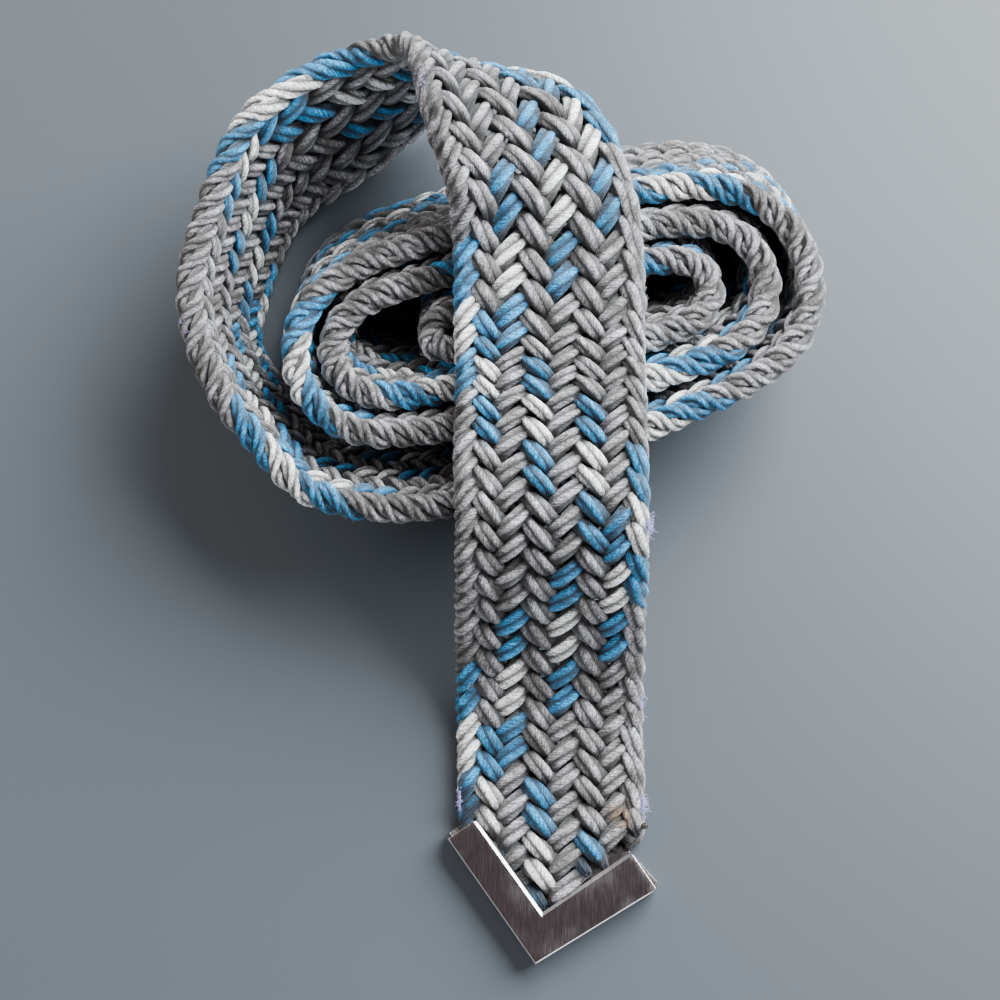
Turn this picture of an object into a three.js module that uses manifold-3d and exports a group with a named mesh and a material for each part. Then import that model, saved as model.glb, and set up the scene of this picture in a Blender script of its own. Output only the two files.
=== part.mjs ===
// Braided rope belt, rolled up on its edge, its free end laid over the roll. Millimetres, +Z up.
// Origin: on the surface, under the middle of the whole belt. +X right and +Y back, as in the photo.
import * as THREE from 'three';
import { mergeVertices } from 'three/addons/utils/BufferGeometryUtils.js';
import Module from 'manifold-3d';

const wasm = await Module();
wasm.setup();

// The braided band
const beltWidth = 45;
const beltThickness = 7.2;
const edgeSides = 6;
const stationStep = 4.2;

// The roll, which leans toward the free end
const rollLean = 36;
const rollTilt = 14;
const rollX = 11.2;
const rollY = 46.6;
const rollRadius = 28.2;
const turnGap = 0.35;
const firstTurn = -0.19;
const lastTurn = 2.82;
const turnSteps = 22;

// The folded metal tip
const tipArm = 34;
const tipArmWidth = 8;
const tipDepth = 6.4;
const tipSheet = 1.2;
const tipFoldRadius = 1.6;
const tipTurn = -11;
const tipX = 7.6;
const tipY = -110.9;
const seatGap = 0.3;
const looseGap = 2.6;
const looseCorner = 14;

// The laid end and the big loop, from the tip to the roll, as shares of beltWidth: x and y of the
// band's middle, how far its far edge lies across from its near edge, and its lift off the surface.
const route = [
  // x,     y,     acrossX, acrossY, lift
  [0.267, -2.70, 1.00, 0.00, 0.000],
  [0.267, -2.30, 1.00, 0.00, 0.000],
  [0.267, -1.90, 1.00, 0.00, 0.000],
  [0.264, -1.55, 1.00, 0.00, 0.000],
  [0.262, -1.27, 1.00, 0.00, 0.010],
  [0.260, -1.09, 1.00, 0.00, 0.075],
  [0.260, -0.94, 1.00, 0.00, 0.200],
  [0.260, -0.79, 1.00, 0.00, 0.385],
  [0.260, -0.64, 1.00, 0.00, 0.590],
  [0.260, -0.49, 1.00, 0.00, 0.750],
  [0.258, -0.33, 1.00, 0.00, 0.835],
  [0.256, -0.11, 1.00, 0.00, 0.855],
  [0.255, 0.22, 1.00, 0.00, 0.855],
  [0.253, 0.66, 1.00, 0.00, 0.860],
  [0.245, 1.05, 1.00, 0.00, 0.900],
  [0.210, 1.34, 0.98, 0.08, 0.960],
  [0.110, 1.63, 0.93, 0.22, 0.940],
  [-0.035, 1.89, 0.76, 0.30, 0.800],
  [-0.235, 2.11, 0.45, 0.24, 0.500],
  [-0.475, 2.170, 0.16, 0.03, 0.160],
  [-0.765, 2.070, 0.08, -0.25, 0.010],
  [-0.995, 1.950, 0.17, -0.26, 0.000],
  [-1.230, 1.75, 0.25, -0.14, 0.000],
  [-1.372, 1.455, 0.25, 0.01, 0.000],
  [-1.477, 1.065, 0.26, 0.10, 0.000],
  [-1.485, 0.83, 0.23, 0.18, 0.000],
  [-1.430, 0.65, 0.21, 0.26, 0.000],
  [-1.307, 0.435, 0.20, 0.36, 0.000],
  [-1.152, 0.275, 0.15, 0.46, 0.000],
  [-0.985, 0.100, 0.10, 0.54, 0.000],
  [-0.763, 0.025, 0.04, 0.58, 0.000],
  [-0.502, 0.000, 0.00, 0.588, 0.000],
  [-0.222, 0.035, 0.00, 0.588, 0.000],
  [0.111, 0.14, 0.00, 0.588, 0.000],
  [0.444, 0.275, 0.00, 0.588, 0.000],
  [0.780, 0.440, 0.00, 0.588, 0.000],
];

// How far the roll's round ends stand from its middle at each turn, as shares of beltWidth
const rollRows = [
  // turn, right, left
  [0.0, 0.767, 0.800],
  [0.5, 0.760, 0.807],
  [1.0, 0.745, 0.830],
  [1.5, 0.700, 0.822],
  [2.0, 0.653, 0.650],
  [2.5, 0.640, 0.500],
  [3.0, 0.640, 0.500],
];

const rad = THREE.MathUtils.degToRad;
const leanAcross = new THREE.Vector3(0, Math.sin(rad(rollLean)), -Math.cos(rad(rollLean)));
const turnPitch = (beltThickness + turnGap) / Math.cos(rad(rollLean));

function rowAt(rows, key, column) {
  let k = 1;
  while (k < rows.length - 1 && rows[k][0] < key) k += 1;
  const share = THREE.MathUtils.clamp((key - rows[k - 1][0]) / (rows[k][0] - rows[k - 1][0]), 0, 1);
  const eased = share * share * (3 - 2 * share);
  return rows[k - 1][column] + (rows[k][column] - rows[k - 1][column]) * eased;
}

// A point of the oval roll: two half rounds a straight apart, drawn in by one pitch each turn
function rollPoint(turn) {
  const angle = 2 * Math.PI * turn;
  const radius = rollRadius - turnPitch * turn;
  const right = rowAt(rollRows, turn, 1) * beltWidth;
  const left = rowAt(rollRows, turn, 2) * beltWidth;
  const half = (right + left) / 2;
  const side = Math.cos(angle) / Math.hypot(Math.cos(angle), 0.35) * Math.hypot(1, 0.35);
  const along = (right - left) / 2 + half * side + radius * Math.cos(angle);
  const over = radius * Math.sin(angle);
  const c = Math.cos(rad(rollTilt));
  const s = Math.sin(rad(rollTilt));
  return [rollX + c * along - s * over, rollY + s * along + c * over];
}

function bandStations() {
  const middle = [];
  const across = [];
  for (const [x, y, ax, ay, lift] of route) {
    middle.push(new THREE.Vector3(x, y, lift).multiplyScalar(beltWidth));
    across.push(new THREE.Vector3(ax, ay, -Math.sqrt(Math.max(0, 1 - ax * ax - ay * ay))));
  }
  const count = Math.round((lastTurn - firstTurn) * turnSteps);
  for (let k = 0; k <= count; k += 1) {
    const [x, y] = rollPoint(firstTurn + (lastTurn - firstTurn) * k / count);
    middle.push(new THREE.Vector3(x, y, 0));
    across.push(leanAcross.clone());
  }
  const path = new THREE.CatmullRomCurve3(middle, false, 'catmullrom', 0.5);
  const turn = new THREE.CatmullRomCurve3(across, false, 'catmullrom', 0.5);
  const fine = 6000;
  const samples = [];
  let length = 0;
  for (let k = 0; k <= fine; k += 1) {
    const point = path.getPoint(k / fine);
    if (k) length += point.distanceTo(samples[k - 1].point);
    samples.push({ point, length, across: turn.getPoint(k / fine).normalize() });
  }
  const rows = Math.round(length / stationStep);
  const stations = [];
  let k = 1;
  for (let row = 0; row <= rows; row += 1) {
    const want = length * row / rows;
    while (k < fine && samples[k].length < want) k += 1;
    const back = samples[k - 1];
    const share = (want - back.length) / (samples[k].length - back.length || 1);
    stations.push({
      point: back.point.clone().lerp(samples[k].point, share),
      across: back.across.clone().lerp(samples[k].across, share).normalize(),
    });
  }
  return { stations, length };
}

// Round-edged section swept along the stations, as one closed solid
function sweepBand({ stations }) {
  const edge = beltThickness / 2;
  const flat = beltWidth / 2 - edge;
  const outline = [];
  for (const end of [1, -1]) {
    for (let k = 0; k <= edgeSides; k += 1) {
      const angle = Math.PI * (k / edgeSides - 0.5);
      outline.push([end * (flat + edge * Math.cos(angle)), end * edge * Math.sin(angle)]);
    }
  }
  const n = outline.length;
  const last = stations.length - 1;
  const verts = [];
  stations.forEach(({ point, across }, row) => {
    const ahead = stations[Math.min(row + 1, last)].point.clone();
    const travel = ahead.sub(stations[Math.max(row - 1, 0)].point).normalize();
    const face = new THREE.Vector3().crossVectors(across, travel).normalize();
    const rest = flat * Math.abs(across.z) + edge * Math.hypot(across.z, face.z);
    for (const [u, v] of outline) {
      const p = point.clone().addScaledVector(across, u).addScaledVector(face, v);
      verts.push(p.x, p.y, p.z + rest);
    }
  });
  const tris = [];
  for (let row = 0; row < last; row += 1) {
    for (let k = 0; k < n; k += 1) {
      const a = row * n + k;
      const b = row * n + (k + 1) % n;
      tris.push(a, b + n, b, a, a + n, b + n);
    }
  }
  for (let k = 1; k < n - 1; k += 1) {
    tris.push(0, k, k + 1);
    tris.push(last * n, last * n + k + 1, last * n + k);
  }
  return toSolid(verts, tris);
}

function toSolid(verts, tris) {
  const mesh = new wasm.Mesh({
    numProp: 3,
    vertProperties: new Float32Array(verts),
    triVerts: new Uint32Array(tris),
  });
  return new wasm.Manifold(mesh);
}

// A flat outline stood up from z0 to z1
function prism(points, z0, z1) {
  const turned = THREE.ShapeUtils.isClockWise(points) ? [...points].reverse() : points;
  const shape = new THREE.ExtrudeGeometry(new THREE.Shape(turned), { depth: z1 - z0, bevelEnabled: false });
  return fromGeometry(shape.translate(0, 0, z0));
}

function fromGeometry(geometry) {
  geometry.deleteAttribute('normal');
  geometry.deleteAttribute('uv');
  const merged = mergeVertices(geometry, 1e-4);
  return toSolid(Array.from(merged.attributes.position.array), Array.from(merged.index.array));
}

function toGeometry(solid) {
  const { vertProperties, triVerts, numProp } = solid.getMesh();
  const positions = new Float32Array(vertProperties.length / numProp * 3);
  for (let k = 0; k < positions.length / 3; k += 1) {
    for (let axis = 0; axis < 3; axis += 1) positions[3 * k + axis] = vertProperties[numProp * k + axis];
  }
  const geometry = new THREE.BufferGeometry();
  geometry.setAttribute('position', new THREE.BufferAttribute(positions, 3));
  geometry.setIndex(new THREE.BufferAttribute(new Uint32Array(triVerts), 1));
  const open = geometry.toNonIndexed();
  open.computeVertexNormals();
  return open;
}

// The tip's own plan: the point at (0, 0), its two arms at 45 degrees, then turned and placed
function tipPlan(points) {
  const c = Math.cos(rad(tipTurn));
  const s = Math.sin(rad(tipTurn));
  const k = Math.SQRT1_2;
  return points.map(([left, right]) => {
    const x = (right - left) * k;
    const y = (right + left) * k;
    return new THREE.Vector2(tipX + c * x - s * y, tipY + s * x + c * y);
  });
}

const tipMiddle = beltThickness / 2;
const tipLow = tipMiddle - tipDepth / 2;
const tipHigh = tipMiddle + tipDepth / 2;
const pocketLow = tipLow + tipSheet;
const pocketHigh = tipHigh - tipSheet;

// An L-shaped outline inset from the folds, each arm as wide as asked
function chevron(inset, width, reach) {
  return tipPlan([[inset, inset], [inset, reach], [width, reach], [width, width], [reach, width], [reach, inset]]);
}

function tipSolid() {
  let body = prism(chevron(0, tipArmWidth, tipArm), tipLow, tipHigh);
  const cut = tipFoldRadius * (1 - Math.SQRT1_2) * 2;
  for (const [low, high, from] of [[tipHigh - cut, tipHigh + 1, 1], [tipLow - 1, tipLow + cut, -1]]) {
    for (const arm of [0, 1]) {
      const line = [[-1, -1], [tipArm + 1, -1], [tipArm + 1, cut / 2], [-1, cut / 2]];
      const strip = tipPlan(line.map(([a, b]) => (arm ? [a, b] : [b, a])));
      body = body.subtract(prism(strip, from > 0 ? low + cut / 2 : low, from > 0 ? high : high - cut / 2));
    }
  }
  return body.subtract(prism(chevron(tipSheet, tipArmWidth + 5, tipArm + 5), pocketLow, pocketHigh));
}

// The band's end: cut along the tip's arms, its right corner left loose, its left side thinned
// to sit in the fold
function bandEnd(band) {
  const root = tipArmWidth + seatGap;
  const seat = tipSheet + seatGap;
  const reach = tipArm + looseCorner;
  const past = [[-reach, -reach], [reach, -reach], [reach, root], [root, root], [root + looseGap, reach],
    [-reach, reach]];
  const inFold = [[seat, seat], [reach, seat], [reach, root + 1], [seat, root + 1]];
  const tongue = band.intersect(prism(tipPlan(inFold), pocketLow + seatGap, pocketHigh - seatGap));
  return band.subtract(prism(tipPlan(past), -beltWidth, beltWidth)).add(tongue);
}

const group = new THREE.Group();
group.name = 'rope_belt';

function addNode(name, solid, colour, roughness, metalness) {
  const material = new THREE.MeshStandardMaterial({ color: colour, roughness, metalness });
  const mesh = new THREE.Mesh(toGeometry(solid), material);
  mesh.name = name;
  group.add(mesh);
}

const band = bandEnd(sweepBand(bandStations()));
addNode('braided_band', band, 0x9c979b, 0.9, 0);
addNode('v_tip', tipSolid(), 0xb8b6ba, 0.25, 1);

// Origin under the middle of the belt
const box = new THREE.Box3().setFromObject(group);
const middle = box.getCenter(new THREE.Vector3());
for (const mesh of group.children) mesh.geometry.translate(-middle.x, -middle.y, -box.min.z);

export default group;
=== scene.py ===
import math

import bmesh
import bpy
import numpy as np
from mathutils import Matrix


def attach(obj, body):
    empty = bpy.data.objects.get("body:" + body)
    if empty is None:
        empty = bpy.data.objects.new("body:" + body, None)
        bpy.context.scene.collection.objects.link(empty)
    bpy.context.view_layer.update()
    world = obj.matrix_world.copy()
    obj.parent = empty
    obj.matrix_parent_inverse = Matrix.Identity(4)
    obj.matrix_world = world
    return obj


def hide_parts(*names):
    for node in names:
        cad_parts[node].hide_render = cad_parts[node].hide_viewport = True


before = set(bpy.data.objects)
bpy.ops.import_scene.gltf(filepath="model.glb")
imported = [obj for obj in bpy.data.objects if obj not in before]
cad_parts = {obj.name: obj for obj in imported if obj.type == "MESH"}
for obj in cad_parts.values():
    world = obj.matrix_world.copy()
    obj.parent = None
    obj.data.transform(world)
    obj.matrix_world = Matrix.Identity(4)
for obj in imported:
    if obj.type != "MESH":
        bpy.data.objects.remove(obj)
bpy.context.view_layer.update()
mm = 0.001

# camera: where the photo was taken from, above the tip's side of the table
cameraView = {
    "place": (-0.00074, -0.12365, 0.47512),
    "tilt": 15.0,
    "lens": 72.0,
    "sensor": 36.0,
}

camData = bpy.data.cameras.new("photoCamera")
camData.lens = cameraView["lens"]
camData.sensor_width = cameraView["sensor"]
camData.clip_start = 0.01
camera = bpy.data.objects.new("photoCamera", camData)
camera.location = cameraView["place"]
camera.rotation_euler = (math.radians(cameraView["tilt"]), 0, 0)
bpy.context.collection.objects.link(camera)
bpy.context.scene.camera = camera
print("camera placed")


# the route of the belt's middle line, the same as in the CAD part (mm, shares of the width)
belt = {
    "width": 45.0, "thick": 7.2,
    "lean": 36.0, "tilt": 14.0, "rollX": 11.2, "rollY": 46.6, "radius": 28.2, "gap": 0.35,
    "firstTurn": -0.19, "lastTurn": 2.82, "turnSteps": 22,
    "shift": (-0.739, 3.630, 0.120),
    "route": [
        (0.267, -2.70, 1.00, 0.00, 0.000), (0.267, -2.30, 1.00, 0.00, 0.000),
        (0.267, -1.90, 1.00, 0.00, 0.000), (0.264, -1.55, 1.00, 0.00, 0.000),
        (0.262, -1.27, 1.00, 0.00, 0.010), (0.260, -1.09, 1.00, 0.00, 0.075),
        (0.260, -0.94, 1.00, 0.00, 0.200), (0.260, -0.79, 1.00, 0.00, 0.385),
        (0.260, -0.64, 1.00, 0.00, 0.590), (0.260, -0.49, 1.00, 0.00, 0.750),
        (0.258, -0.33, 1.00, 0.00, 0.835), (0.256, -0.11, 1.00, 0.00, 0.855),
        (0.255, 0.22, 1.00, 0.00, 0.855), (0.253, 0.66, 1.00, 0.00, 0.860),
        (0.245, 1.05, 1.00, 0.00, 0.900), (0.210, 1.34, 0.98, 0.08, 0.960),
        (0.110, 1.63, 0.93, 0.22, 0.940), (-0.035, 1.89, 0.76, 0.30, 0.800),
        (-0.235, 2.11, 0.45, 0.24, 0.500), (-0.475, 2.170, 0.16, 0.03, 0.160),
        (-0.765, 2.070, 0.08, -0.25, 0.010), (-0.995, 1.950, 0.17, -0.26, 0.000),
        (-1.230, 1.75, 0.25, -0.14, 0.000), (-1.372, 1.455, 0.25, 0.01, 0.000),
        (-1.477, 1.065, 0.26, 0.10, 0.000), (-1.485, 0.83, 0.23, 0.18, 0.000),
        (-1.430, 0.65, 0.21, 0.26, 0.000), (-1.307, 0.435, 0.20, 0.36, 0.000),
        (-1.152, 0.275, 0.15, 0.46, 0.000), (-0.985, 0.100, 0.10, 0.54, 0.000),
        (-0.763, 0.025, 0.04, 0.58, 0.000), (-0.502, 0.000, 0.00, 0.588, 0.000),
        (-0.222, 0.035, 0.00, 0.588, 0.000), (0.111, 0.14, 0.00, 0.588, 0.000),
        (0.444, 0.275, 0.00, 0.588, 0.000), (0.780, 0.440, 0.00, 0.588, 0.000),
    ],
    "rollRows": [
        (0.0, 0.767, 0.800), (0.5, 0.760, 0.807), (1.0, 0.745, 0.830), (1.5, 0.700, 0.822),
        (2.0, 0.653, 0.650), (2.5, 0.640, 0.500), (3.0, 0.640, 0.500),
    ],
}


def eased(t):
    t = np.clip(t, 0.0, 1.0)
    return t * t * (3 - 2 * t)


def rowAt(rows, key, column):
    k = 1
    while k < len(rows) - 1 and rows[k][0] < key:
        k += 1
    a, b = rows[k - 1], rows[k]
    return a[column] + (b[column] - a[column]) * float(eased((key - a[0]) / (b[0] - a[0])))


def rollPoint(turn):
    angle = 2 * math.pi * turn
    pitch = (belt["thick"] + belt["gap"]) / math.cos(math.radians(belt["lean"]))
    radius = belt["radius"] - pitch * turn
    right = rowAt(belt["rollRows"], turn, 1) * belt["width"]
    left = rowAt(belt["rollRows"], turn, 2) * belt["width"]
    side = math.cos(angle) / math.hypot(math.cos(angle), 0.35) * math.hypot(1, 0.35)
    along = (right - left) / 2 + (right + left) / 2 * side + radius * math.cos(angle)
    over = radius * math.sin(angle)
    c, s = math.cos(math.radians(belt["tilt"])), math.sin(math.radians(belt["tilt"]))
    return belt["rollX"] + c * along - s * over, belt["rollY"] + s * along + c * over


def smoothLine(points, t):
    # Catmull-Rom through the points, t from 0 to 1
    p = np.asarray(points, float)
    p = np.vstack([2 * p[0] - p[1], p, 2 * p[-1] - p[-2]])
    x = np.clip(t, 0, 1) * (len(p) - 3)
    k = np.minimum(x.astype(int), len(p) - 4)
    w = (x - k)[:, None]
    a, b, c, d = p[k], p[k + 1], p[k + 2], p[k + 3]
    m0, m1 = (c - a) / 2, (d - b) / 2
    return (2 * b - 2 * c + m0 + m1) * w ** 3 + (-3 * b + 3 * c - 2 * m0 - m1) * w ** 2 + m0 * w + b


def unit(v):
    return v / np.maximum(np.linalg.norm(v, axis=-1, keepdims=True), 1e-9)


def beltLine():
    # middle points, across and face vectors of the whole belt, every 0.5 mm of its length
    middle, across = [], []
    for x, y, ax, ay, lift in belt["route"]:
        middle.append((x * belt["width"], y * belt["width"], lift * belt["width"]))
        across.append((ax, ay, -math.sqrt(max(0.0, 1 - ax * ax - ay * ay))))
    lean = math.radians(belt["lean"])
    span = belt["lastTurn"] - belt["firstTurn"]
    count = round(span * belt["turnSteps"])
    for k in range(count + 1):
        x, y = rollPoint(belt["firstTurn"] + span * k / count)
        middle.append((x, y, 0.0))
        across.append((0.0, math.sin(lean), -math.cos(lean)))
    t = np.linspace(0, 1, 8001)
    line, sideways = smoothLine(middle, t), unit(smoothLine(across, t))
    length = np.concatenate([[0], np.cumsum(np.linalg.norm(np.diff(line, axis=0), axis=1))])
    s = np.arange(0, length[-1], 0.5)
    line = np.stack([np.interp(s, length, line[:, k]) for k in range(3)], 1)
    sideways = unit(np.stack([np.interp(s, length, sideways[:, k]) for k in range(3)], 1))
    ahead = np.minimum(np.arange(len(s)) + 8, len(s) - 1)
    behind = np.maximum(np.arange(len(s)) - 8, 0)
    travel = unit(line[ahead] - line[behind])
    face = unit(np.cross(sideways, travel))
    edge = belt["thick"] / 2
    # raised until its lower edge lies on the table
    line[:, 2] += (belt["width"] / 2 - edge) * np.abs(sideways[:, 2])
    line[:, 2] += edge * np.hypot(sideways[:, 2], face[:, 2])
    line += np.array(belt["shift"])
    return s, line, sideways, face


lineS, lineP, lineA, lineN = beltLine()


def onBelt(table, s):
    return np.stack([np.interp(s, lineS, table[:, k]) for k in range(3)], -1)


print("belt line %.0f mm" % lineS[-1])


# the flat braid: seventeen laid cords, each over two and under two, turning at both edges
braid = {
    "strands": 17,
    "halfWidth": 20.3,       # middle of the outermost cord
    "rise": 1.80,            # how far a cord's middle swings over and under
    "wide": 2.28, "deep": 1.82,
    "lay": 44.0,             # one twist of the cord
    "plies": 4, "perPly": 5,
    "step": 1.0,
    "slant": 0.04,
    "crowd": 0.19,
    # length along the belt (mm) and strokes counted from the white pair at the left edge
    "strokes": [
        (-40, -15.4), (62.5, 0.9), (75, 2.75), (91.5, 4.75), (106.5, 6.75), (121, 9.25),
        (132.5, 11.25), (144.5, 13.25), (154, 15.25), (163, 17.3), (180.5, 19.75), (196, 21.75),
        (211, 23.75), (302.5, 34), (387, 51), (474, 68), (574, 85), (684, 102), (776, 119),
        (885, 136), (970, 153), (1072, 170), (1174, 187),
    ],
    "endThin": 0.42, "endReach": 3.2,    # how much a cut end thins, over what length
    "stain": (44.5, 16.5, 3.4),          # along, across, reach
    "coats": ["white", "blue", "blue", "grey", "grey", "grey", "grey", "grey", "grey",
              "grey", "grey", "grey", "grey", "grey", "blue", "blue", "white"],
}

tip = {
    "arm": 34.0, "armWidth": 8.0, "depth": 6.4, "sheet": 1.2, "fold": 1.6,
    "turn": -11.0, "x": 7.6, "y": -110.9, "seat": 0.3, "looseGap": 4.2,
    # what the source's plain V leaves out: a sharper upper fold, the right arm a bit shorter and
    # wider, the back plate showing past the front one at both ends and under the right arm
    "crease": 0.45, "armRight": 32.7, "spread": 0.9, "wide": (0.8, 2.6),
    "lip": 2.6, "backLeft": 1.5, "backRight": 2.6,
    "looseCorner": 14.0,
}


def softNoise(rng, q, every, amount):
    # smooth random swing, one value for each `every` units of q
    n = int((q.max() - q.min()) / every) + 4
    values = rng.uniform(-1, 1, n)
    x = (q - q.min()) / every
    k = np.minimum(x.astype(int), n - 2)
    return amount * (values[k] + (values[k + 1] - values[k]) * eased(x - k))


def strokesAt(s):
    # smooth count of strokes along the belt
    ks = np.array([row[0] for row in braid["strokes"]], float)
    kv = np.array([row[1] for row in braid["strokes"]], float)
    fine = np.linspace(ks[0], ks[-1], 3000)
    v = np.interp(fine, ks, kv)
    kernel = np.hanning(61)
    kernel /= kernel.sum()
    slope = np.gradient(v, fine)
    slope = np.convolve(np.pad(slope, 30, mode="edge"), kernel, mode="valid")
    v2 = np.concatenate([[0], np.cumsum((slope[1:] + slope[:-1]) / 2 * np.diff(fine))])
    v2 += np.interp(110, fine, v) - np.interp(110, fine, v2)
    return np.interp(s, fine, v2)


def tipArms(x, y):
    # distances from the left fold line and the right fold line of the tip, in part coordinates
    a = math.radians(tip["turn"])
    dx = x - belt["shift"][0] - tip["x"]
    dy = y - belt["shift"][1] - tip["y"]
    px = math.cos(a) * dx + math.sin(a) * dy
    py = -math.sin(a) * dx + math.cos(a) * dy
    k = math.sqrt(0.5)
    return (py - px) * k, (py + px) * k   # left, right


def strandPath(index):
    rng = np.random.default_rng(40 + index)
    s = np.arange(2.0, lineS[-1] - 1.0, braid["step"])
    n = braid["strands"]
    q = (2 * (strokesAt(s) + index + 0.5)) % (2 * n)
    c = np.where(q <= n, q, 2 * n - q)
    soft = 0.55
    fromEdge = np.minimum(c, n - c)
    rounded = n / 2 * (np.sqrt(fromEdge ** 2 + soft ** 2) - soft) / (math.hypot(n / 2, soft) - soft)
    c2 = np.where(c <= n / 2, rounded, n - rounded)
    fade = eased(fromEdge / 1.6)
    c2 = c2 + braid["slant"] * np.sin(math.pi * (c - 1.5)) * fade
    x = 2 * c2 / n - 1
    along = braid["halfWidth"] * (x + braid["crowd"] * x * (1 - x ** 4))
    # over and under, two and two, with a longer turn round each edge
    keys = [-1.5, 1.5, 3.5, 5.5, 7.5, 9.5, 11.5, 13.5, 15.5,
            18.5, 20.5, 22.5, 24.5, 26.5, 28.5, 30.5, 32.5, 35.5]
    angle = np.interp(q, keys, math.pi * (np.arange(len(keys)) - 1))
    wave = np.tanh(1.05 * np.cos(angle)) / math.tanh(1.05)
    high = braid["rise"] * wave
    # the flat side of the section turns round the edges
    swing = 1.4
    turn = np.full(len(q), 90.0)
    turn = np.where(q < swing, 270 - 180 * eased((q + swing) / (2 * swing)), turn)
    turn = np.where(q > 2 * n - swing, 270 - 180 * eased((q - 2 * n + swing) / (2 * swing)), turn)
    turn = np.where(np.abs(q - n) < swing, 90 + 180 * eased((q - n + swing) / (2 * swing)), turn)
    turn = np.where((q >= n + swing) & (q <= 2 * n - swing), 270.0, turn)
    turn = np.radians(turn)
    along = along + softNoise(rng, s, 7.0, 0.22)
    high = high + softNoise(rng, s, 9.0, 0.12)
    s2 = s + softNoise(rng, s, 8.0, 0.30)
    p, a, n = onBelt(lineP, s2), onBelt(lineA, s2), onBelt(lineN, s2)
    left, right = tipArms(*(p + a * along[:, None])[:, :2].T)
    pinch = 1 - 0.46 * (1 - eased((right - tip["armWidth"] + 1.5) / 6.0)) * (s < 60)
    centre = p + a * along[:, None] + n * (high * pinch)[:, None]
    thin = a * np.cos(turn)[:, None] + n * np.sin(turn)[:, None]
    swell = 1 + softNoise(rng, s, 6.0, 0.06)
    dive = np.abs(wave)
    pitch = 1 / np.maximum(np.gradient(strokesAt(s), s), 0.05)
    wide = braid["wide"] * np.clip(pitch / 6.1, 0.86, 1.12) * (0.92 + 0.08 * dive) * swell
    deep = braid["deep"] * (0.97 + 0.03 * dive) * pinch
    inFold = right > tip["sheet"] + tip["seat"] + 1.2
    opening = (right / (tip["arm"] + tip["looseCorner"])) ** 3   # the gap opens towards the loose corner
    loose = left > tip["armWidth"] + tip["seat"] - 0.2 + tip["looseGap"] * opening
    keep = (inFold & loose) | (s > 90)
    return s, centre, thin, wide, deep, keep, p, a, n


def sectionOutline():
    # four soft plies pressed together, as radius over angle
    n, per = braid["plies"], braid["perPly"]
    out = []
    for k in range(n * per):
        a = (k % per) / per - 0.5
        psi = a * 2 * math.pi / n
        r = 0.53 * math.cos(psi) + math.sqrt(0.2209 - (0.53 * math.sin(psi)) ** 2)
        out.append((2 * math.pi * k / (n * per), r))
    return np.array(out)


def crestShadeOf(points, p, a, n):
    # 1 on the crest of a cord, 0 where it dives into the band; the cord colour is darkened by it as
    # painted shade where a cord dives under its neighbours
    rel = points - p[:, None, :]
    up = np.abs((rel * n[:, None, :]).sum(-1))
    out = np.abs((rel * a[:, None, :]).sum(-1)) - (braid["halfWidth"] - 1.6)
    return np.clip((np.maximum(up, out) - 0.9) / 2.5, 0, 1)


def stainOf(points):
    # a yellow-brown spot near the frayed corner
    s, a, reach = braid["stain"]
    spot = onBelt(lineP, s) + onBelt(lineA, s) * a + onBelt(lineN, s) * 2.5
    return np.clip(1.25 - np.linalg.norm(points - spot, axis=-1) / reach, 0, 1)


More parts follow.
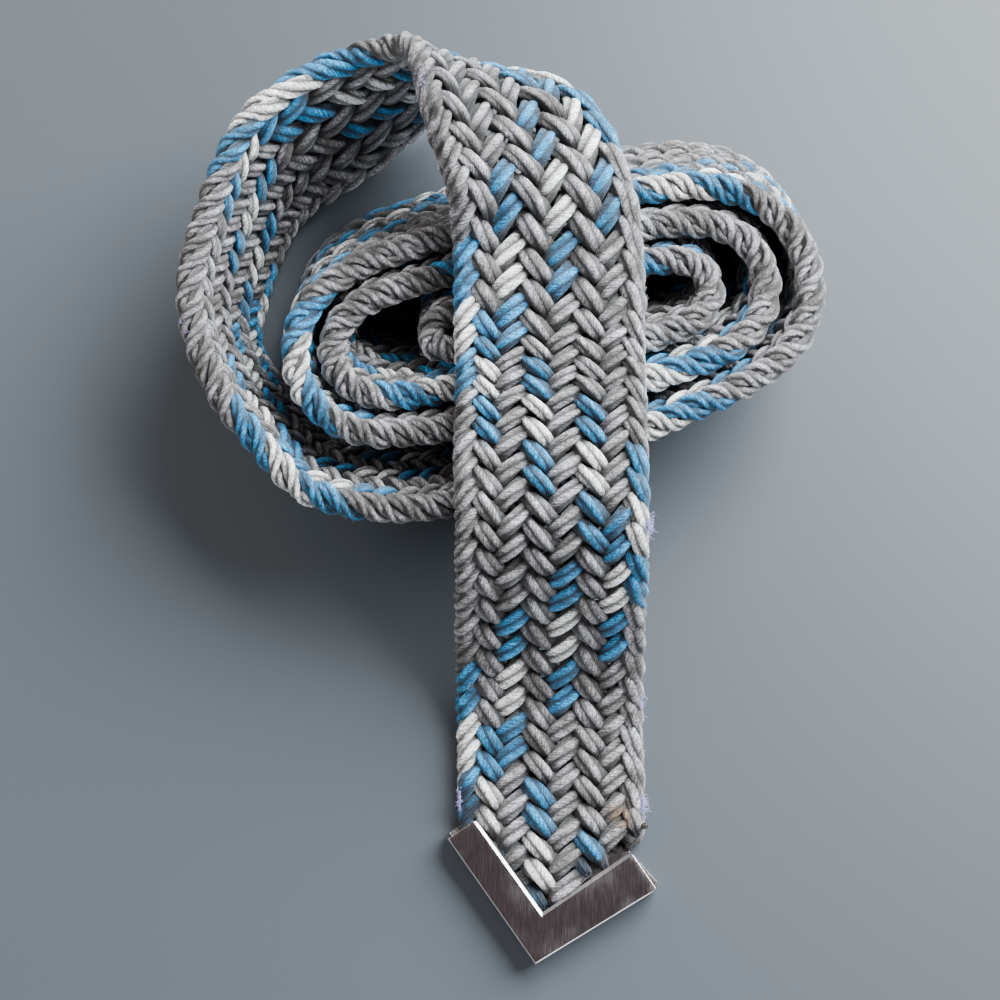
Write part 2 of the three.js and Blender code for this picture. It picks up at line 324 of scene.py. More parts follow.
def strandMesh(name, runs):
    outline = sectionOutline()
    sides = len(outline)
    verts, faces, uvs, crestShades, stains = [], [], [], [], []
    base = 0
    for s, centre, thin, wide, deep, p, a, face in runs:
        n = len(s)
        # ends thin out and turn down out of sight
        away = np.minimum(np.arange(n), np.arange(n)[::-1]) * braid["step"] * 1.35
        close = 1 - eased(away / braid["endReach"])
        centre = centre - face * close[:, None]
        wide = wide * (1 - braid["endThin"] * close)
        deep = deep * (1 - braid["endThin"] * close)
        tangent = unit(np.gradient(centre, axis=0))
        e1 = unit(np.cross(tangent, thin))
        e2 = np.cross(e1, tangent)
        arc = np.concatenate([[0], np.cumsum(np.linalg.norm(np.diff(centre, axis=0), axis=1))])
        twist = -2 * math.pi * (arc + s[0]) / braid["lay"]
        ang = outline[:, 0][None, :] + twist[:, None]
        x = outline[:, 1][None, :] * np.cos(ang) * wide[:, None]
        y = outline[:, 1][None, :] * np.sin(ang) * deep[:, None]
        ring = centre[:, None, :] + e1[:, None, :] * x[..., None] + e2[:, None, :] * y[..., None]
        ring[..., 2] = np.maximum(ring[..., 2], 0.02)   # lies on the table
        verts.append(ring.reshape(-1, 3))
        crestShades.append(crestShadeOf(ring, p, a, face).ravel())
        stains.append(stainOf(ring).ravel())
        j = np.arange(n - 1)[:, None] * sides
        k = np.arange(sides)[None, :]
        k2 = (k + 1) % sides
        quad = np.stack([j + k, j + k2, j + sides + k2, j + sides + k], -1).reshape(-1, 4) + base
        faces.append(quad)
        ply = braid["plies"]
        u0 = np.repeat((arc[:-1] + s[0])[:, None], sides, 1)
        u1 = np.repeat((arc[1:] + s[0])[:, None], sides, 1)
        v0 = np.repeat((np.arange(sides) / sides * ply)[None, :], n - 1, 0)
        v1 = np.repeat(((np.arange(sides) + 1) / sides * ply)[None, :], n - 1, 0)
        corners = ((u0, v0), (u0, v1), (u1, v1), (u1, v0))
        uv = np.stack([np.stack(pair, -1) for pair in corners], 2)
        uvs.append(uv.reshape(-1, 2))
        # rounded ends: two shrinking rings and a middle point at each end
        for end, row, way in ((0, 0, -1), (1, n - 1, 1)):
            last = base + row * sides
            for grow, push in ((0.72, 0.55), (0.0, 0.85)):
                if grow:
                    cap = centre[row] + (ring[row] - centre[row]) * grow + tangent[row] * push * way
                    verts.append(cap)
                    # cut ends get a fixed crest value of 0.25, a painted shade on the cap
                    crestShades.append(np.full(sides, 0.25))
                    stains.append(stainOf(cap))
                    start = base + n * sides + end * (sides + 1)
                    for m in range(sides):
                        m2 = (m + 1) % sides
                        q4 = (last + m, last + m2, start + m2, start + m)
                        if way < 0:
                            q4 = (last + m2, last + m, start + m, start + m2)
                        faces.append(np.array([q4]))
                        turns = (m, m2, m2, m)
                        uvs.append(np.array([(arc[row] + s[0], ply * k / sides) for k in turns], float))
                else:
                    verts.append((centre[row] + tangent[row] * push * way)[None, :])
                    crestShades.append(np.full(1, 0.25))
                    stains.append(np.zeros(1))
        base += n * sides + 2 * (sides + 1)
    verts = np.vstack(verts) * mm
    quads = np.vstack(faces)
    mesh = bpy.data.meshes.new(name)
    tris = []
    mark = 0
    for s, *_ in runs:
        n = len(s)
        for end in (0, 1):
            start = mark + n * sides + end * (sides + 1)
            middle = start + sides
            for m in range(sides):
                m2 = (m + 1) % sides
                tris.append((start + m, start + m2, middle) if end else (start + m2, start + m, middle))
        mark += n * sides + 2 * (sides + 1)
    tris = np.array(tris)
    mesh.vertices.add(len(verts))
    mesh.vertices.foreach_set("co", verts.ravel())
    loops = np.concatenate([quads.ravel(), tris.ravel()])
    mesh.loops.add(len(loops))
    mesh.loops.foreach_set("vertex_index", loops)
    starts = np.concatenate([np.arange(len(quads)) * 4, len(quads) * 4 + np.arange(len(tris)) * 3])
    mesh.polygons.add(len(starts))
    mesh.polygons.foreach_set("loop_start", starts)
    mesh.polygons.foreach_set("use_smooth", np.ones(len(starts), bool))
    # colour attribute: red is the crest value used for painted shade in the dives, green is the real stain
    shade = mesh.color_attributes.new("crestShadeAndStain", "FLOAT_COLOR", "POINT")
    crestShadeAndStain = np.concatenate(crestShades)
    stain = np.concatenate(stains)
    shade.data.foreach_set("color", np.stack([crestShadeAndStain, stain, 0 * crestShadeAndStain, np.ones(len(crestShadeAndStain))], 1).ravel())
    layer = mesh.uv_layers.new(name="cord")
    uvAll = np.zeros((len(loops), 2))
    uvAll[:len(quads) * 4] = np.vstack(uvs)
    layer.data.foreach_set("uv", uvAll.ravel())
    mesh.update(calc_edges=True)
    mesh.validate()
    return mesh


def runsOf(index):
    s, centre, thin, wide, deep, keep, p, a, n = strandPath(index)
    edges = np.flatnonzero(np.diff(np.concatenate([[0], keep.astype(int), [0]])))
    runs = []
    for i, j in zip(edges[::2], edges[1::2]):
        if j - i > 8:
            runs.append(tuple(row[i:j] for row in (s, centre, thin, wide, deep, p, a, n)))
    return runs


strandPieces = []
for index in range(braid["strands"]):
    coat = braid["coats"][index]
    mesh = strandMesh("cord_%02d_%s" % (index, coat), runsOf(index))
    piece = bpy.data.objects.new("cord_%02d_%s" % (index, coat), mesh)
    bpy.context.collection.objects.link(piece)
    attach(piece, "root")
    strandPieces.append((piece, coat))
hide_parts("braided_band")


def fibreMesh(name, fibres):
    # thin bent fibres with three sides, each running from its root to a point
    verts, faces = [], []
    for path, thick in fibres:
        start = len(verts)
        tangent = unit(np.gradient(path, axis=0))
        side = unit(np.cross(tangent, np.array([0.31, 0.52, 0.79])))
        other = np.cross(tangent, side)
        rows = len(path) - 1
        for k in range(rows):
            r = thick * (1 - 0.6 * k / rows)
            for m in range(3):
                a = 2 * math.pi * m / 3
                verts.append((path[k] + side[k] * r * math.cos(a) + other[k] * r * math.sin(a)) * mm)
        verts.append(path[rows] * mm)
        for k in range(rows - 1):
            for m in range(3):
                m2 = (m + 1) % 3
                low, high = start + 3 * k, start + 3 * k + 3
                faces.append((low + m, low + m2, high + m2, high + m))
        last = start + 3 * rows - 3
        for m in range(3):
            faces.append((last + m, last + (m + 1) % 3, start + 3 * rows))
    mesh = bpy.data.meshes.new(name)
    mesh.from_pydata([tuple(v) for v in verts], [], faces)
    for f in mesh.polygons:
        f.use_smooth = True
    return mesh


def growFibre(rng, root, way, long, curl):
    steps = 6
    path = [root]
    for k in range(steps):
        way = unit(way + rng.normal(0, curl, 3))
        path.append(path[-1] + way * long / steps)
    return np.array(path)


fuzz = {
    # along the belt, across it, number of fibres, their length, spread
    "lilac": [(120.5, 21.8, 80, 3.8, 0.7), (71.0, 21.8, 40, 2.6, 0.9), (46.0, 21.6, 120, 3.0, 1.4),
              (47.5, -21.6, 60, 2.2, 1.2), (229.0, -21.4, 60, 2.4, 1.8), (352.0, -21.6, 12, 2.0, 1.2)],
    "bead": (41.5, 21.6, 2.6, 0.95),     # along, across, above the middle, size
    "lilacThick": 0.075,
    "stray": 1900, "length": 2.3, "thick": 0.045,
}


def makeFuzz():
    rng = np.random.default_rng(7)
    lilac, stray = [], []
    for s, a, count, long, spread in fuzz["lilac"]:
        for _ in range(count):
            at = s + rng.normal(0, spread)
            p, side, face = onBelt(lineP, at), onBelt(lineA, at), onBelt(lineN, at)
            root = p + side * (a - 0.5 * math.copysign(1, a)) + face * rng.uniform(0.4, 2.6)
            way = unit(side * math.copysign(1, a) * rng.uniform(0.3, 1.2) + face * rng.uniform(-0.1, 1.0)
                       + rng.normal(0, 0.45, 3))
            reach = long * rng.uniform(0.35, 1.0)
            lilac.append((growFibre(rng, root, way, reach, 0.55), fuzz["lilacThick"]))
    for _ in range(fuzz["stray"]):
        piece = strandPieces[rng.integers(len(strandPieces))][0]
        crestShadeAndStain = piece.data.attributes["crestShadeAndStain"].data
        for _ in range(20):
            pick = int(rng.integers(len(crestShadeAndStain)))
            if crestShadeAndStain[pick].color[0] > 0.85:
                break
        v = piece.data.vertices[pick]
        out = np.array(v.normal)
        root = np.array(v.co) / mm - out * 0.05
        way = unit(out * rng.uniform(0.15, 0.9) + rng.normal(0, 0.6, 3))
        long = fuzz["length"] * rng.uniform(0.3, 1.0)
        stray.append((growFibre(rng, root, way, long, 0.5), fuzz["thick"]))
    # no fibre goes through the table
    for fibres in (lilac, stray):
        for path, _ in fibres:
            path[:, 2] = np.maximum(path[:, 2], 0.08)
    return fibreMesh("fuzz_lilac", lilac), fibreMesh("fuzz_stray", stray)


def makeBead():
    # small dark lump where a cord end was melted at the corner
    rng = np.random.default_rng(3)
    s, a, lift, size = fuzz["bead"]
    mid = onBelt(lineP, s) + onBelt(lineA, s) * a + onBelt(lineN, s) * lift
    bm = bmesh.new()
    bmesh.ops.create_icosphere(bm, subdivisions=3, radius=1.0)
    lumps = rng.normal(0, 1, (6, 3))
    for v in bm.verts:
        d = np.array(v.co)
        swell = 1 + 0.16 * sum(math.tanh(2 * float(d @ lump)) for lump in lumps) / 2
        v.co = (mid + d * swell * np.array([size, size * 0.8, size * 0.7])) * mm
    for f in bm.faces:
        f.smooth = True
    mesh = bpy.data.meshes.new("melted_end")
    bm.to_mesh(mesh)
    bm.free()
    return mesh


meltedEnd = bpy.data.objects.new("melted_end", makeBead())
bpy.context.collection.objects.link(meltedEnd)
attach(meltedEnd, "root")

fuzzPieces = []
for mesh in makeFuzz():
    piece = bpy.data.objects.new(mesh.name, mesh)
    bpy.context.collection.objects.link(piece)
    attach(piece, "root")
    fuzzPieces.append(piece)
print("fuzz grown: %d faces" % sum(len(p.data.polygons) for p in fuzzPieces))
print("cords laid: %d faces" % sum(len(p.data.polygons) for p, _ in strandPieces))


def newMaterial(name):
    mat = bpy.data.materials.new(name)
    mat.use_nodes = True
    tree = mat.node_tree
    tree.nodes.clear()
    out = tree.nodes.new("ShaderNodeOutputMaterial")
    shader = tree.nodes.new("ShaderNodeBsdfPrincipled")
    tree.links.new(shader.outputs["BSDF"], out.inputs["Surface"])
    return mat, tree, shader


def groupSocket(tree, name, kind, way, value=None):
    item = tree.interface.new_socket(name=name, in_out=way, socket_type=kind)
    if value is not None:
        item.default_value = value
    return item


def mathNode(tree, kind, a, b=None, c=None, clamp=False):
    node = tree.nodes.new("ShaderNodeMath")
    node.operation = kind
    node.use_clamp = clamp
    for slot, value in enumerate((a, b, c)):
        if value is None:
            continue
        if isinstance(value, (int, float)):
            node.inputs[slot].default_value = value
        else:
            tree.links.new(value, node.inputs[slot])
    return node.outputs[0]


def mixColour(tree, kind, share, a, b):
    node = tree.nodes.new("ShaderNodeMix")
    node.data_type = "RGBA"
    node.blend_type = kind
    for socket, value in ((node.inputs[0], share), (node.inputs[6], a), (node.inputs[7], b)):
        if isinstance(value, (int, float, tuple)):
            socket.default_value = value
        else:
            tree.links.new(value, socket)
    return node.outputs[2]


def cordGroup():
    # laid cord: painted shade in the grooves between plies and where a cord dives into the band, painted
    # highlight on the middle of each ply, fibre streaks along the plies, slow dye and wear changes
    tree = bpy.data.node_groups.new("laidCord", "ShaderNodeTree")
    groupSocket(tree, "Colour", "NodeSocketColor", "INPUT", (0.5, 0.5, 0.5, 1))
    groupSocket(tree, "Worn Colour", "NodeSocketColor", "INPUT", (0.7, 0.7, 0.7, 1))
    groupSocket(tree, "Groove Shade Colour", "NodeSocketColor", "INPUT", (0.1, 0.1, 0.1, 1))
    groupSocket(tree, "Streak", "NodeSocketFloat", "INPUT", 0.5)
    groupSocket(tree, "Groove", "NodeSocketFloat", "INPUT", 0.7)
    groupSocket(tree, "Mottle", "NodeSocketFloat", "INPUT", 0.5)
    groupSocket(tree, "Colour", "NodeSocketColor", "OUTPUT")
    groupSocket(tree, "Height", "NodeSocketFloat", "OUTPUT")
    groupSocket(tree, "Roughness", "NodeSocketFloat", "OUTPUT")
    inp = tree.nodes.new("NodeGroupInput")
    out = tree.nodes.new("NodeGroupOutput")
    uv = tree.nodes.new("ShaderNodeUVMap")
    uv.uv_map = "cord"
    split = tree.nodes.new("ShaderNodeSeparateXYZ")
    tree.links.new(uv.outputs["UV"], split.inputs[0])
    along, turned = split.outputs["X"], split.outputs["Y"]
    # groove mask: 1 in the valley between two plies; it paints shade into the grooves and dents the bump
    frac = mathNode(tree, "FRACT", turned)
    away = mathNode(tree, "ABSOLUTE", mathNode(tree, "SUBTRACT", frac, 0.5))
    valley = mathNode(tree, "MULTIPLY", away, 2.0, clamp=True)
    grooveShade = mathNode(tree, "POWER", valley, 2.4)
    # painted highlight: the colour is brightened up to 1.36 times on the middle of each ply, less towards
    # the grooves
    slope = mathNode(tree, "MULTIPLY", mathNode(tree, "POWER", valley, 2.0), 0.80)
    plyHighlight = mathNode(tree, "SUBTRACT", 1.36, slope)
    # fibres run along the ply with a slight turn of their own
    skew = mathNode(tree, "ADD", mathNode(tree, "MULTIPLY", along, 0.30), turned)
    place = tree.nodes.new("ShaderNodeCombineXYZ")
    tree.links.new(mathNode(tree, "MULTIPLY", along, 0.45), place.inputs[0])
    tree.links.new(mathNode(tree, "MULTIPLY", skew, 7.5), place.inputs[1])
    fine = tree.nodes.new("ShaderNodeTexNoise")
    fine.inputs["Scale"].default_value = 1.0
    fine.inputs["Detail"].default_value = 3.0
    fine.inputs["Roughness"].default_value = 0.65
    tree.links.new(place.outputs[0], fine.inputs["Vector"])
    geo = tree.nodes.new("ShaderNodeNewGeometry")
    slow = tree.nodes.new("ShaderNodeTexNoise")
    slow.inputs["Scale"].default_value = 150.0
    slow.inputs["Detail"].default_value = 2.5
    tree.links.new(geo.outputs["Position"], slow.inputs["Vector"])
    crestShadeAndStain = tree.nodes.new("ShaderNodeVertexColor")
    crestShadeAndStain.layer_name = "crestShadeAndStain"
    crest = tree.nodes.new("ShaderNodeSeparateColor")
    tree.links.new(crestShadeAndStain.outputs["Color"], crest.inputs[0])
    # painted shade: the cord colour is darkened to 5 % where the crest value is low, where a cord dives
    # into the band
    depth = tree.nodes.new("ShaderNodeMapRange")
    depth.interpolation_type = "SMOOTHSTEP"
    depth.inputs["From Min"].default_value = 0.30
    depth.inputs["From Max"].default_value = 1.0
    depth.inputs["To Min"].default_value = 0.05
    depth.inputs["To Max"].default_value = 1.0
    tree.links.new(crest.outputs[0], depth.inputs["Value"])
    ramp = tree.nodes.new("ShaderNodeMapRange")
    ramp.inputs["From Min"].default_value = 0.36
    ramp.inputs["From Max"].default_value = 0.66
    tree.links.new(slow.outputs["Fac"], ramp.inputs["Value"])
    worn = mathNode(tree, "MULTIPLY", ramp.outputs[0], inp.outputs["Mottle"], clamp=True)
    body = mixColour(tree, "MIX", worn, inp.outputs["Colour"], inp.outputs["Worn Colour"])
    stained = mathNode(tree, "MULTIPLY", crest.outputs[1], 0.8, clamp=True)
    body = mixColour(tree, "MIX", stained, body, (0.22, 0.115, 0.02, 1))
    streak = tree.nodes.new("ShaderNodeMapRange")
    streak.inputs["From Min"].default_value = 0.39
    streak.inputs["From Max"].default_value = 0.61
    streak.clamp = False
    streak.inputs["To Min"].default_value = -0.5
    streak.inputs["To Max"].default_value = 0.5
    tree.links.new(fine.outputs["Fac"], streak.inputs["Value"])
    swing = mathNode(tree, "MULTIPLY", streak.outputs[0], inp.outputs["Streak"])
    gain = mathNode(tree, "ADD", swing, 1.0)
    # single fibres that catch the light
    speck = tree.nodes.new("ShaderNodeTexNoise")
    speck.inputs["Scale"].default_value = 1900.0
    speck.inputs["Detail"].default_value = 1.5
    tree.links.new(geo.outputs["Position"], speck.inputs["Vector"])
    glint = tree.nodes.new("ShaderNodeMapRange")
    glint.inputs["From Min"].default_value = 0.34
    glint.inputs["From Max"].default_value = 0.70
    glint.inputs["To Min"].default_value = 0.50
    glint.inputs["To Max"].default_value = 1.75
    tree.links.new(speck.outputs["Fac"], glint.inputs["Value"])
    gain = mathNode(tree, "MAXIMUM", mathNode(tree, "MULTIPLY", gain, glint.outputs[0]), 0.25)
    gain = mathNode(tree, "MULTIPLY", mathNode(tree, "MULTIPLY", gain, plyHighlight), depth.outputs[0])
    scaled = tree.nodes.new("ShaderNodeVectorMath")
    scaled.operation = "SCALE"
    tree.links.new(body, scaled.inputs[0])
    tree.links.new(gain, scaled.inputs["Scale"])
    # painted shade: the grooves between plies are mixed towards the near-black groove colour
    shade = mathNode(tree, "MULTIPLY", grooveShade, inp.outputs["Groove"], clamp=True)
    final = mixColour(tree, "MIX", shade, scaled.outputs[0], inp.outputs["Groove Shade Colour"])
    tree.links.new(final, out.inputs["Colour"])
    height = mathNode(tree, "SUBTRACT", mathNode(tree, "MULTIPLY", fine.outputs["Fac"], 0.9), grooveShade)
    tree.links.new(height, out.inputs["Height"])
    rough = mathNode(tree, "ADD", mathNode(tree, "MULTIPLY", fine.outputs["Fac"], 0.30), 0.34, clamp=True)
    tree.links.new(rough, out.inputs["Roughness"])
    return tree


laidCord = cordGroup()

# the groove colour of each coat is the painted shade in the grooves between plies
cordCoats = {
    "grey": {
        "colour": (0.125, 0.113, 0.108), "worn": (0.44, 0.428, 0.455),
        "grooveShade": (0.010, 0.007, 0.006), "mottle": 0.9,
    },
    "blue": {
        "colour": (0.001, 0.110, 0.235), "worn": (0.006, 0.315, 0.680),
        "grooveShade": (0.001, 0.010, 0.035), "mottle": 0.9,
    },
    "white": {
        "colour": (0.80, 0.80, 0.77), "worn": (1.0, 1.0, 1.0),
        "grooveShade": (0.10, 0.085, 0.07), "mottle": 0.9,
    },
}


def cordMaterial(name, look):
    mat, tree, shader = newMaterial("cord_" + name)
    group = tree.nodes.new("ShaderNodeGroup")
    group.node_tree = laidCord
    group.inputs["Colour"].default_value = (*look["colour"], 1)
    group.inputs["Worn Colour"].default_value = (*look["worn"], 1)
    group.inputs["Groove Shade Colour"].default_value = (*look["grooveShade"], 1)
    group.inputs["Streak"].default_value = 1.15
    group.inputs["Groove"].default_value = 0.85
    group.inputs["Mottle"].default_value = look["mottle"]
    bump = tree.nodes.new("ShaderNodeBump")
    bump.inputs["Strength"].default_value = 1.0
    bump.inputs["Distance"].default_value = 0.0006
    tree.links.new(group.outputs["Colour"], shader.inputs["Base Color"])
    tree.links.new(group.outputs["Roughness"], shader.inputs["Roughness"])
    tree.links.new(group.outputs["Height"], bump.inputs["Height"])
    tree.links.new(bump.outputs["Normal"], shader.inputs["Normal"])
    shader.inputs["Specular IOR Level"].default_value = 0.5
    shader.inputs["Sheen Weight"].default_value = 0.25
    shader.inputs["Sheen Roughness"].default_value = 0.45
    return mat


cordMaterials = {name: cordMaterial(name, look) for name, look in cordCoats.items()}
for piece, coat in strandPieces:
    piece.data.materials.append(cordMaterials[coat])


def fibreMaterial(name, low, high):
    mat, tree, shader = newMaterial(name)
    geo = tree.nodes.new("ShaderNodeNewGeometry")
    blend = tree.nodes.new("ShaderNodeTexNoise")
    blend.inputs["Scale"].default_value = 900.0
    tree.links.new(geo.outputs["Position"], blend.inputs["Vector"])
    tint = mixColour(tree, "MIX", blend.outputs["Fac"], (*low, 1), (*high, 1))
    tree.links.new(tint, shader.inputs["Base Color"])
    shader.inputs["Roughness"].default_value = 0.55
    shader.inputs["Sheen Weight"].default_value = 0.3
    return mat


def beadMaterial():
    mat, tree, shader = newMaterial("melted_fibre")
    geo = tree.nodes.new("ShaderNodeNewGeometry")
    blend = tree.nodes.new("ShaderNodeTexNoise")
    blend.inputs["Scale"].default_value = 1400.0
    tree.links.new(geo.outputs["Position"], blend.inputs["Vector"])
    tint = mixColour(tree, "MIX", blend.outputs["Fac"], (0.012, 0.009, 0.007, 1), (0.075, 0.055, 0.040, 1))
    tree.links.new(tint, shader.inputs["Base Color"])
    shader.inputs["Roughness"].default_value = 0.32
    return mat


meltedEnd.data.materials.append(beadMaterial())
fuzzPieces[0].data.materials.append(fibreMaterial("fibre_lilac", (0.25, 0.22, 0.62), (0.62, 0.58, 0.92)))
fuzzPieces[1].data.materials.append(fibreMaterial("fibre_pale", (0.45, 0.44, 0.46), (0.85, 0.84, 0.86)))
print("cord materials set")


# the folded metal tip: one sheet bent round the band's end, swept along both arms
def tipPoint(left, right, z):
    a = math.radians(tip["turn"])
    k = math.sqrt(0.5)
    x, y = (right - left) * k, (right + left) * k
    return (tip["x"] + math.cos(a) * x - math.sin(a) * y + belt["shift"][0],
            tip["y"] + math.sin(a) * x + math.cos(a) * y + belt["shift"][1],
            z + belt["shift"][2])


def tipProfile():
    # closed outline of the bent sheet: depth in from the fold, height
    mid = belt["thick"] / 2
    low, high = mid - tip["depth"] / 2, mid + tip["depth"] / 2
    width, sheet, fold = tip["armWidth"], tip["sheet"], tip["fold"]
    inner = fold - sheet
    out = [(width, high - 0.45), (width - 0.75, high)]
    crease = tip["crease"]
    for k in range(5):
        a = math.pi / 2 * k / 4
        out.append((crease - crease * math.sin(a), high - crease + crease * math.cos(a)))
    for k in range(7):
        a = math.pi / 2 * k / 6
        out.append((fold - fold * math.cos(a), low + fold - fold * math.sin(a)))
    out.append((width, low))
    out.append((width, low + sheet))
    for k in range(5):
        a = math.pi / 2 * k / 4
        out.append((sheet + inner - inner * math.sin(a), low + sheet + inner - inner * math.cos(a)))
    for k in range(5):
        a = math.pi / 2 * k / 4
        out.append((sheet + inner - inner * math.cos(a), high - sheet - inner + inner * math.sin(a)))
    out.append((width, high - sheet))
    return out


def makeTip():
    profile = tipProfile()
    bm = bmesh.new()
    rings = []
    steps = 12
    for k in range(steps + 1):
        # left arm from its end to the corner: the end stands out a little, its back plate more
        t = k / steps
        ring = []
        for d, z in profile:
            back = eased((belt["thick"] / 2 - z) / 1.0)
            reach = tip["arm"] + tip["backLeft"] * back * (1 - t) + (d - tip["arm"]) * t
            outer = 1 - eased((d - 4.0) / 4.0)
            ring.append(bm.verts.new([c * mm for c in tipPoint(reach - tip["wide"][0] * outer * t,
                                                              d - tip["spread"] * (1 - t), z)]))
        rings.append(ring)
    for k in range(1, steps + 1):
        # right arm from the corner to its end, wider there and with a rounded back plate
        t = k / steps
        ring = []
        for d, z in profile:
            back = eased((belt["thick"] / 2 - z) / 1.0)
            inward = d + tip["lip"] * eased(t / 0.12) * back * (d > tip["armWidth"] - 0.01)
            share = min(1.0, max(0.0, inward / (tip["armWidth"] + tip["lip"])))
            bulge = back * tip["backRight"] * math.sin(math.pi * share) ** 0.7
            reach = d + (tip["armRight"] + bulge - d) * t
            outer = 1 - eased((d - 4.0) / 4.0)
            wide = tip["wide"][0] + (tip["wide"][1] - tip["wide"][0]) * t
            ring.append(bm.verts.new([c * mm for c in tipPoint(inward - wide * outer, reach, z)]))
        rings.append(ring)
    n = len(profile)
    for a, b in zip(rings, rings[1:]):
        for k in range(n):
            bm.faces.new((a[k], a[(k + 1) % n], b[(k + 1) % n], b[k]))
    bm.faces.new(rings[0][::-1])
    bm.faces.new(rings[-1])
    bmesh.ops.recalc_face_normals(bm, faces=bm.faces)
    sharp = [e for e in bm.edges if len(e.link_faces) == 2 and e.calc_face_angle() > math.radians(55)]
    bmesh.ops.bevel(bm, geom=sharp, offset=0.00014, segments=2, profile=0.6, affect="EDGES")
    for f in bm.faces:
        f.smooth = True
    for e in bm.edges:
        if len(e.link_faces) == 2 and e.calc_face_angle() > math.radians(18):
            e.smooth = False
    mesh = bpy.data.meshes.new("metal_tip")
    bm.to_mesh(mesh)
    bm.free()
    return mesh


def tipMetal():
    mat, tree, shader = newMaterial("polished_nickel")
    geo = tree.nodes.new("ShaderNodeNewGeometry")
    stretch = tree.nodes.new("ShaderNodeMapping")
    stretch.inputs["Scale"].default_value = (3200, 260, 900)
    stretch.inputs["Rotation"].default_value = (0, 0, math.radians(4))
    tree.links.new(geo.outputs["Position"], stretch.inputs["Vector"])
    brushed = tree.nodes.new("ShaderNodeTexNoise")
    brushed.inputs["Scale"].default_value = 1.0
    brushed.inputs["Detail"].default_value = 4.0
    tree.links.new(stretch.outputs[0], brushed.inputs["Vector"])
    patch = tree.nodes.new("ShaderNodeTexNoise")
    patch.inputs["Scale"].default_value = 130.0
    patch.inputs["Detail"].default_value = 3.0
    tree.links.new(geo.outputs["Position"], patch.inputs["Vector"])
    wear = tree.nodes.new("ShaderNodeMapRange")
    wear.inputs["From Min"].default_value = 0.45
    wear.inputs["From Max"].default_value = 0.75
    tree.links.new(patch.outputs["Fac"], wear.inputs["Value"])
    tint = mixColour(tree, "MIX", wear.outputs[0], (0.60, 0.555, 0.565, 1), (0.72, 0.69, 0.69, 1))
    line = tree.nodes.new("ShaderNodeMapRange")
    line.inputs["From Min"].default_value = 0.35
    line.inputs["From Max"].default_value = 0.68
    line.inputs["To Min"].default_value = 0.90
    line.inputs["To Max"].default_value = 1.20
    tree.links.new(brushed.outputs["Fac"], line.inputs["Value"])
    scored = tree.nodes.new("ShaderNodeVectorMath")
    scored.operation = "SCALE"
    tree.links.new(tint, scored.inputs[0])
    tree.links.new(line.outputs[0], scored.inputs["Scale"])
    tree.links.new(scored.outputs[0], shader.inputs["Base Color"])
    rough = mathNode(tree, "ADD", mathNode(tree, "MULTIPLY", brushed.outputs["Fac"], 0.14),
                     mathNode(tree, "MULTIPLY", wear.outputs[0], 0.10))
    tree.links.new(mathNode(tree, "ADD", rough, 0.08), shader.inputs["Roughness"])
    bump = tree.nodes.new("ShaderNodeBump")
    bump.inputs["Strength"].default_value = 0.14
    bump.inputs["Distance"].default_value = 0.0001
    tree.links.new(brushed.outputs["Fac"], bump.inputs["Height"])
    tree.links.new(bump.outputs["Normal"], shader.inputs["Normal"])
    shader.inputs["Metallic"].default_value = 1.0
    return mat


metalTip = bpy.data.objects.new("metal_tip", makeTip())
bpy.context.collection.objects.link(metalTip)
metalTip.data.materials.append(tipMetal())
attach(metalTip, "root")
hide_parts("v_tip")
print("tip made")


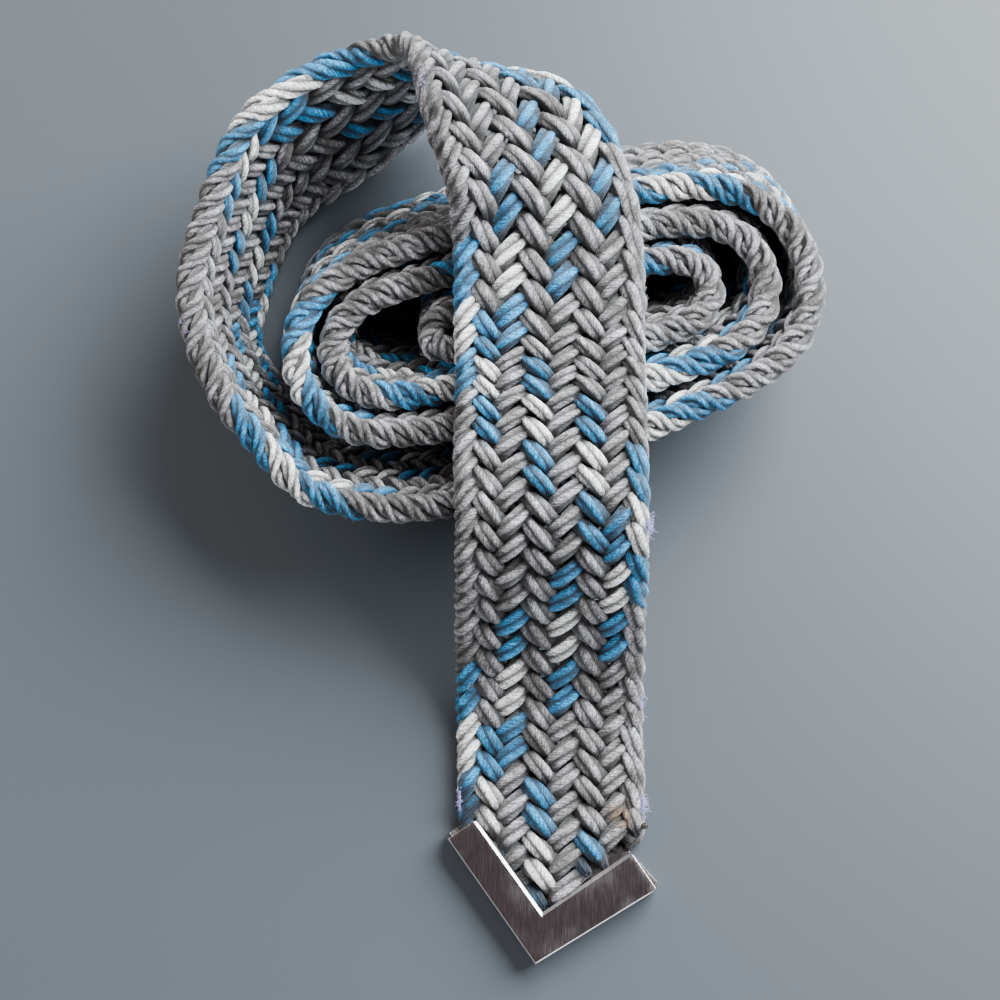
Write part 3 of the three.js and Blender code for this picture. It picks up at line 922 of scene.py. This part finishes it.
# plain pale table
def makeTable():
    mesh = bpy.data.meshes.new("table_top")
    bm = bmesh.new()
    bmesh.ops.create_grid(bm, x_segments=8, y_segments=8, size=12.0)
    bm.to_mesh(mesh)
    bm.free()
    top = bpy.data.objects.new("table_top", mesh)
    bpy.context.collection.objects.link(top)
    mat, tree, shader = newMaterial("table_paint")
    shader.inputs["Base Color"].default_value = (0.088, 0.101, 0.116, 1)
    shader.inputs["Roughness"].default_value = 0.42
    shader.inputs["Specular IOR Level"].default_value = 0.35
    mesh.materials.append(mat)


makeTable()

studio = {
    "key": {"place": (0.46, 0.42, 0.50), "size": 0.75, "power": 32.0, "colour": (0.93, 0.98, 1.0)},
    "fill": {"place": (-0.75, 0.35, 0.65), "size": 0.9, "power": 3.4, "colour": (1.0, 0.92, 0.80)},
    "front": {"place": (0.45, -0.95, 0.55), "size": 0.7, "power": 4.0, "colour": (0.90, 0.95, 1.0),
              "shine": 0.1},
    "zenith": (0.082, 0.067, 0.070), "horizon": (0.52, 0.55, 0.58), "skyStrength": 1.16,
}


def addLight(name, look):
    data = bpy.data.lights.new(name, "AREA")
    data.energy = look["power"]
    data.size = look["size"]
    data.color = look["colour"]
    data.specular_factor = look.get("shine", 1.0)
    lamp = bpy.data.objects.new(name, data)
    lamp.location = look["place"]
    aim = -np.array(look["place"]) + np.array([0, 0, 0.02])
    d = aim / np.linalg.norm(aim)
    lamp.rotation_euler = (math.acos(-d[2]), 0, math.atan2(d[1], d[0]) - math.pi / 2)
    bpy.context.collection.objects.link(lamp)


for lightName in ("key", "fill", "front"):
    addLight(lightName, studio[lightName])
world = bpy.data.worlds.new("studio")
world.use_nodes = True
backdrop = world.node_tree.nodes["Background"]
sky = world.node_tree
heading = sky.nodes.new("ShaderNodeTexCoord")
parts = sky.nodes.new("ShaderNodeSeparateXYZ")
sky.links.new(heading.outputs["Generated"], parts.inputs[0])
rise = sky.nodes.new("ShaderNodeMapRange")
rise.interpolation_type = "SMOOTHSTEP"
rise.inputs["From Min"].default_value = 0.30
rise.inputs["From Max"].default_value = 0.95
sky.links.new(parts.outputs["Z"], rise.inputs["Value"])
sky.links.new(mixColour(sky, "MIX", rise.outputs[0], (*studio["horizon"], 1), (*studio["zenith"], 1)),
              backdrop.inputs["Color"])
backdrop.inputs["Strength"].default_value = studio["skyStrength"]
bpy.context.scene.world = world
print("table and lights ready")
